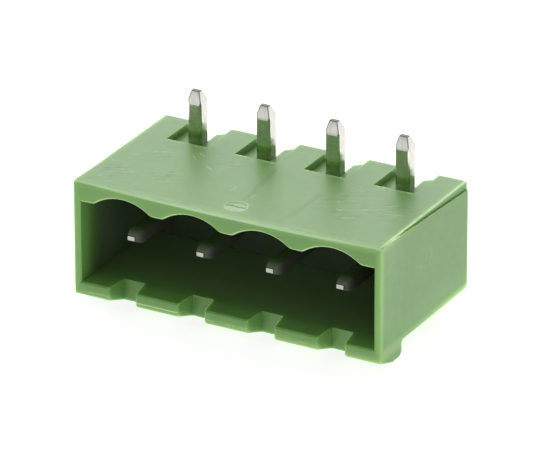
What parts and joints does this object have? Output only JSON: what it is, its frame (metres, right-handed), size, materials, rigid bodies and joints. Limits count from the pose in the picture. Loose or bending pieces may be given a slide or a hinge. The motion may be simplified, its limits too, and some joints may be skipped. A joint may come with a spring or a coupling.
{
  "type": "pin header",
  "caption": "Right-angle pluggable pin header with closed ends, a scalloped mouth, a latching ridge and square tinned contact pins.",
  "frame": {"origin": "middle of the base of the bounding box, below the middle of the row, level with the crest of the latching ridge", "axes": "+X along the row of contacts, -Y out of the mouth towards the plug, +Z out of the board face along the solder tails"},
  "size_m": [0.0224, 0.012, 0.0118],
  "materials": {
    "housing_plastic": "semi-gloss moulded polyamide",
    "pin_metal": "bright tin plating over brass wire"
  },
  "bodies": {
    "root": {"housing": "housing_plastic", "contact_pin_1": "pin_metal", "contact_pin_2": "pin_metal", "contact_pin_3": "pin_metal", "contact_pin_4": "pin_metal"}
  },
  "joints": []
}
